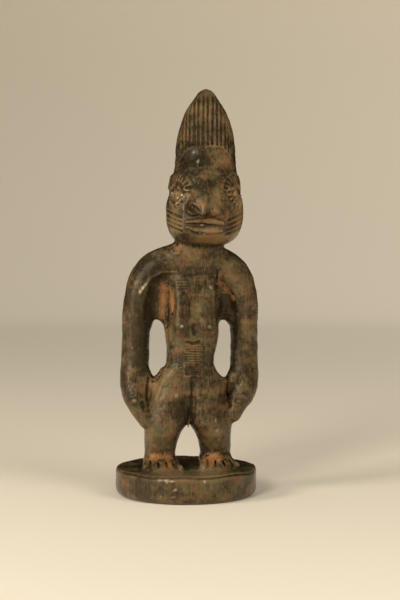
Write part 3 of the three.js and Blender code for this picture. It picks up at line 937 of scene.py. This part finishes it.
# Where the wood is rubbed to a reddish brown.
WARM = [
    [10, -28, 162, 32, 24, 1], [-10, -20, 175, 13, 13, 0.9],
    [28, -22, 175, 13, 13, 0.8], [24, -22, 196, 14, 14, 0.4],
    [4, -10, 136, 18, 10, 0.5], [-43, -2, 90, 9, 36, 0.9],
    [-22, -8, 56, 10, 20, 0.9], [24, -8, 50, 12, 22, 0.6],
    [-26, -6, 16, 8, 20, 0.8], [10, -10, 24, 6, 22, 0.6],
    [27, -6, 22, 7, 22, 0.4], [8, -12, 74, 10, 12, 0.2],
    [-40, -20, -8, 14, 12, 0.6],
]

# Where it is chipped or rubbed pale, and painted highlights. The highlights are glints on the forehead, the
# hair, in the right eye, on the nose, the lips, the rim under the right shoulder, the front rim of the
# base, the right nipple, the right hand and the right thigh. The chip on the chest, the pupils, the specks
# on the left leg and on the base, and the nick in the base are the wood's own.
PALE_AND_HIGHLIGHTS = [
    [1.6, -20.6, 200.3, 0.7, 1, 0.8], [4.1, -24.4, 194.6, 0.6, 0.7, 0.5],
    [25.4, -10.4, 214.5, 0.9, 0.9, 0.8], [14.6, -10.5, 115.3, 1.8, 1.3, 0.9],
    [28, -25.5, 174.7, 2.4, 2.8, 0.35], [-10.6, -11.9, 174.9, 1.5, 1.5, 0.5],
    [-8.6, -21, 174.1, 1.1, 1.6, 0.8], [-8.3, -23.6, 171.6, 1.1, 1.1, 1],
    [-7.4, -26.3, 170.3, 1, 1, 0.8], [-6.2, -26.2, 173.4, 1.1, 1.1, 1],
    [-5.2, -27.9, 172.1, 1, 1, 0.8], [-9.2, -25.1, 168.4, 1, 1, 0.8],
    [3, -38.3, 162.2, 1.4, 0.9, 0.6], [5.2, -33.7, 154.9, 1.6, 0.6, 0.7],
    [4.4, -31.2, 149.8, 1.3, 0.7, 0.6], [7, -30.8, 149.2, 1, 0.7, 0.6],
    [4.9, -40.5, 165, 0.5, 3, 0.5], [-30.3, -6, 112.6, 1.4, 1.6, 0.6],
    [-28.6, -6.5, 114.9, 1.4, 1.6, 0.6], [-26.6, -7, 117, 1.4, 1.6, 0.35],
    [-21.7, -38.6, -2.7, 2.6, 0.8, 0.5], [-18.2, -40.5, -2.6, 2.6, 0.8, 0.7],
    [-14.7, -42.1, -2.9, 2.6, 0.8, 0.6], [-4.8, -16, 91, 0.9, 0.9, 0.6],
    [-34.3, -9.8, 43.6, 1.9, 1.7, 0.15], [-8.2, -12.2, 46.6, 1.3, 1.8, 0.4],
    [16.6, -14, 30.8, 1.3, 1.3, 0.35], [18, -13.4, 24.3, 1.3, 1.3, 0.35],
    [19.7, -11, 17.6, 1.1, 1.1, 0.3], [5.5, -44.6, -3.5, 1.2, 1.6, 0.7],
    [-12.4, -43.4, -8.2, 0.7, 0.9, 0.6], [-21.3, -40, -12.3, 0.9, 0.9, 0.6],
    [-13.6, -43, -13.2, 1.1, 0.7, 0.5],
]


def make_carving():
    wood = carve_block()
    piece = mesh_object(wood)
    mesh = piece.data
    points = vectors(mesh, "vertices", "co")
    normals = vectors(mesh, "vertex_normals", "vector")
    points = points - normals * wear(points)[:, None]
    mesh.vertices.foreach_set("co", points.ravel())
    mesh.update()
    thin_out(piece)
    mesh = piece.data
    points = vectors(mesh, "vertices", "co")
    for name, values in masks(wood, points).items():
        mesh.attributes.new(name, "FLOAT", "POINT").data.foreach_set("value", values.astype(np.float32))
    points = (points + (0, 0, BASE_THICKNESS)) * MM
    mesh.vertices.foreach_set("co", points.ravel().astype(np.float32))
    mesh.polygons.foreach_set("use_smooth", np.ones(len(mesh.polygons), bool))
    mesh.update()
    return piece


# Colours of the wood, as linear red, green and blue, or the two ends of a range.
BLACK = ((0.02, 0.014, 0.006, 1), (0.045, 0.02, 0.008, 1))
DULL_BLACK = ((0.044, 0.036, 0.018, 1), (0.055, 0.031, 0.015, 1))
BROWN = ((0.134, 0.113, 0.047, 1), (0.185, 0.09, 0.039, 1))
RED_BROWN = ((0.19, 0.135, 0.056, 1), (0.25, 0.115, 0.046, 1))
# Worn edges, in a colour that is also a painted highlight on them.
RUBBED_EDGE_AND_HIGHLIGHT = ((0.16, 0.115, 0.052, 1), (0.26, 0.15, 0.065, 1))
RED_DUST = ((0.38, 0.175, 0.062, 1), (0.13, 0.052, 0.018, 1))
# The colour of pale chips and nicks, and of painted highlights.
BARE_WOOD_AND_HIGHLIGHT = (0.6, 0.5, 0.33, 1)
PALE_SPECK = (0.36, 0.28, 0.17, 1)


def wood_material():
    """Handled wood: black with smoke, brown where it is rubbed, with red dust and pale nicks, and with
    painted shade, painted light and painted highlights in its colour.
    """
    nodes = Nodes("old_wood")
    place = nodes.add("ShaderNodeTexCoord").outputs["Object"]
    names = ("hollow", "shelter", "dust", "soot_and_shading", "warm", "pale")
    hollow, shelter, dust, soot_and_shading, warm, pale = (nodes.attribute(name) for name in names)
    broad = nodes.noise(place, 60, detail=4)
    tint = nodes.total([(nodes.noise(place, 150, detail=5, roughness=0.6), 3.0)], -1.0)
    mottle = nodes.noise(place, 360, detail=6, roughness=0.58)
    speck = nodes.noise(place, 900, detail=4, roughness=0.6)
    grain = nodes.noise(nodes.stretched(place, (1100, 1100, 60)), 1, detail=4)

    # How far each point is rubbed, dull, a worn and highlighted edge, dusty, and streaked in its dust.
    patches = [(mottle, 1.2), (broad, 0.9), (speck, 0.8), (grain, 0.9)]
    # Hollows come out darker. The soot spots darken the wood, some as painted shade; the negative ones
    # lighten it, some as painted light.
    rubbed = nodes.total([*patches, (hollow, -3.5), (soot_and_shading, -0.9), (warm, 0.15)], -1.42)
    # Sheltered places come out a deeper black.
    dull = nodes.total([(mottle, 3.0), (grain, 2.0), (speck, 1.0), (soot_and_shading, -0.7), (shelter, -2.5)], -2.4)
    # Convex edges come out light: worn edges, and a painted highlight on rims and ridges.
    edge = nodes.total([(hollow, -6.0), (mottle, 2.4), (speck, 1.0), (soot_and_shading, -0.6)], -2.1)
    sheltered = [(shelter, 1.2), (hollow, 2.0), (dust, 1.6)]
    dusty = nodes.total([*sheltered, (mottle, 3.0), (speck, 1.6), (grain, 2.4)], -4.9)
    streak = nodes.total([(grain, 3.0), (mottle, 1.5), (tint, 0.5)], -2.0)

    black = nodes.mix(dull, nodes.mix(warm, *BLACK), nodes.mix(tint, *DULL_BLACK))
    brown = nodes.mix(warm, nodes.mix(tint, *BROWN), nodes.mix(tint, *RED_BROWN))
    wood = nodes.mix(rubbed, black, brown)
    wood = nodes.mix(edge, wood, nodes.mix(warm, *RUBBED_EDGE_AND_HIGHLIGHT))
    colour = nodes.mix(dusty, wood, nodes.mix(streak, *RED_DUST))
    # Pale chips and nicks, and painted highlights.
    colour = nodes.mix(pale, colour, BARE_WOOD_AND_HIGHLIGHT)
    colour = nodes.mix(nodes.spots(place, 260, 0.06), colour, PALE_SPECK)

    roughening = [(dusty, 0.4), (mottle, 0.35), (tint, 0.08), (soot_and_shading, 0.04)]
    relief = nodes.total([(mottle, 0.8), (grain, 0.25), (speck, 0.1)], 0, clamp=False)
    nodes.fill(nodes.shader, {
        "Base Color": colour,
        "Specular IOR Level": 0.36,
        "Specular Tint": (1, 0.85, 0.6, 1),
        "Roughness": nodes.total(roughening, -0.03, clamp=False),
        "Normal": nodes.bump(relief, 0.0007),
    })
    return nodes.material


class Nodes:
    """A material's node tree, with short names for what the wood is mixed from."""

    def __init__(self, name):
        self.material = bpy.data.materials.new(name)
        self.material.use_nodes = True
        self.tree = self.material.node_tree
        self.shader = self.tree.nodes["Principled BSDF"]

    def fill(self, node, inputs):
        """Links each input to an output of another node, or sets it to a plain value."""
        for name, value in inputs.items():
            if isinstance(value, bpy.types.NodeSocket):
                self.tree.links.new(value, node.inputs[name])
            else:
                node.inputs[name].default_value = value

    def add(self, kind, inputs=None, **settings):
        node = self.tree.nodes.new(kind)
        for name, value in settings.items():
            setattr(node, name, value)
        self.fill(node, inputs or {})
        return node

    def calculate(self, operation, *values):
        return self.add("ShaderNodeMath", dict(enumerate(values)), operation=operation)

    def attribute(self, name):
        return self.add("ShaderNodeAttribute", attribute_name=name).outputs["Fac"]

    def noise(self, place, scale, detail=3, roughness=0.5):
        inputs = {"Vector": place, "Scale": scale, "Detail": detail, "Roughness": roughness}
        return self.add("ShaderNodeTexNoise", inputs).outputs["Fac"]

    def stretched(self, place, scale):
        return self.add("ShaderNodeMapping", {"Vector": place, "Scale": scale}).outputs["Vector"]

    def spots(self, place, scale, size):
        """Small round spots, one in some of the cells of a given scale."""
        cells = self.add("ShaderNodeTexVoronoi", {"Vector": place, "Scale": scale})
        return self.calculate("LESS_THAN", cells.outputs["Distance"], size).outputs[0]

    def total(self, terms, start, clamp=True):
        """The sum of values, each times its weight."""
        result = start
        for value, weight in terms:
            node = self.calculate("MULTIPLY_ADD", value, weight, result)
            result = node.outputs[0]
        node.use_clamp = clamp
        return result

    def mix(self, share, low, high):
        # For colours, a mix node has its colours in sockets 6 and 7 and its result in 2.
        return self.add("ShaderNodeMix", {0: share, 6: low, 7: high}, data_type="RGBA").outputs[2]

    def bump(self, height, distance):
        return self.add("ShaderNodeBump", {"Distance": distance, "Height": height}).outputs["Normal"]


# Camera, floor and light

def place_camera():
    """A long lens a little to the figure's right, worked out in millimetres."""
    azimuth = math.radians(-8)
    distance, height = 1000, 176
    aim_aside, aim_height = 8.96, 124.7
    right = Vector((math.cos(azimuth), math.sin(azimuth), 0))
    target = right * aim_aside + Vector((0, 0, aim_height))
    place = Vector((math.sin(azimuth) * distance, -math.cos(azimuth) * distance, height))
    camera = in_scene("camera", bpy.data.cameras.new("camera"))
    camera.data.sensor_width = 36
    camera.data.lens = 93.75
    camera.location = place * MM
    camera.rotation_mode = "QUATERNION"
    camera.rotation_quaternion = (target - place).to_track_quat("-Z", "Y")
    bpy.context.scene.camera = camera


# The stage and its lights, in metres.
FLOOR_RADIUS = 1.6
COVE_RADIUS = 0.8
WALL_HEIGHT = 2.6
LIT_POINT = Vector((0, 0, 0.12))


def turned(name, profile, material, sides=128):
    """A surface turned round the upright axis from a profile of (radius, height)."""
    points = [
        (out * math.cos(math.tau * side / sides), out * math.sin(math.tau * side / sides), z)
        for out, z in profile
        for side in range(sides)
    ]
    faces = [
        (low + side, low + (side + 1) % sides, low + sides + (side + 1) % sides, low + sides + side)
        for low in range(0, len(points) - sides, sides)
        for side in range(sides)
    ]
    mesh = bpy.data.meshes.new(name)
    mesh.from_pydata(points, [], faces)
    mesh.polygons.foreach_set("use_smooth", [True] * len(faces))
    mesh.materials.append(material)
    piece = in_scene(name, mesh)
    return piece


def paper():
    """Pale paper. It glows with painted light, none by the object and more further off, so the floor fades
    into the backdrop, and more towards +x, so the backdrop is lighter on the right than on the left.
    """
    nodes = Nodes("paper")
    place = nodes.add("ShaderNodeTexCoord").outputs["Object"]
    away = nodes.add("ShaderNodeVectorMath", {0: place}, operation="LENGTH")
    share = nodes.calculate("DIVIDE", away.outputs["Value"], FLOOR_RADIUS + COVE_RADIUS)
    glow = nodes.add("ShaderNodeValToRGB", {"Fac": share.outputs[0]})
    # The glow by the distance from the middle, as a share of the wall's.
    stops = glow.color_ramp.elements
    stops[1].color = (0.05, 0.05, 0.05, 1)
    for share_out, value in ((0.08, 0), (0.25, 0.05), (0.72, 0.15)):
        stops.new(share_out).color = (value, value, value, 1)
    split = nodes.add("ShaderNodeSeparateXYZ", {0: place})
    nodes.fill(nodes.shader, {
        "Base Color": (0.8, 0.7, 0.54, 1),
        "Roughness": 0.9,
        "Specular IOR Level": 0.1,
        "Emission Color": (1, 0.87, 0.68, 1),
        # Painted light: the glow, and a sideways slope that brightens +x and dims -x.
        "Emission Strength": nodes.total([(glow.outputs["Color"], 1), (split.outputs["X"], 0.11)], 0),
    })
    return nodes.material


def make_floor():
    """A pale round floor that curves up into a wall, which is a backdrop and lights nothing."""
    material = paper()
    turned("floor", [(0.001, 0), (FLOOR_RADIUS, 0)], material)
    cove = [
        (FLOOR_RADIUS + COVE_RADIUS * math.sin(a), COVE_RADIUS * (1 - math.cos(a)))
        for a in np.linspace(0, math.pi / 2, 20)
    ]
    wall = turned("wall", [*cove, (FLOOR_RADIUS + COVE_RADIUS, WALL_HEIGHT)], material)
    wall.visible_diffuse = False
    wall.visible_glossy = False


def add_light(name, place, size, power):
    """A soft rectangular light, of a given width and height, that looks at the figure."""
    light = in_scene(name, bpy.data.lights.new(name, "AREA"))
    light.data.shape = "RECTANGLE"
    light.data.size, light.data.size_y = size
    light.data.energy = power
    light.data.color = (1, 0.98, 0.95)
    light.location = place
    light.rotation_mode = "QUATERNION"
    light.rotation_quaternion = (LIT_POINT - Vector(place)).to_track_quat("-Z", "Y")
    return light


def place_lights():
    """Soft lights that leave no gloss, small ones that leave only gloss, and a faint sky."""
    front = add_light("front key", (-0.73, -1.12, 0.8), (0.4, 0.4), 11)
    side = add_light("side key", (-1.26, -0.46, 0.75), (0.5, 0.5), 12)
    fill = add_light("fill", (0.81, -1.07, 0.8), (0.8, 0.8), 10)
    for light in (front, side, fill):
        light.visible_glossy = False
    glints = (
        ((-0.7, -1.05, 0.85), (0.12, 0.12), 3),
        ((-1.1, -0.6, 0.7), (0.12, 0.12), 3),
        ((-1.08, -0.66, 0.42), (0.14, 0.8), 4.5),
    )
    for place, size, power in glints:
        glint = add_light("glint", place, size, power)
        glint.visible_diffuse = False
    world = bpy.data.worlds.new("studio")
    bpy.context.scene.world = world
    world.use_nodes = True
    sky = world.node_tree.nodes["Background"]
    sky.inputs["Color"].default_value = (1, 0.95, 0.87, 1)
    sky.inputs["Strength"].default_value = 0.3
    world.cycles_visibility.glossy = False
    bpy.context.scene.view_settings.view_transform = "Standard"


piece = make_carving()
piece.data.materials.clear()
piece.data.materials.append(wood_material())
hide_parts(NODE)
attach(piece, "root")
make_floor()
place_lights()
place_camera()
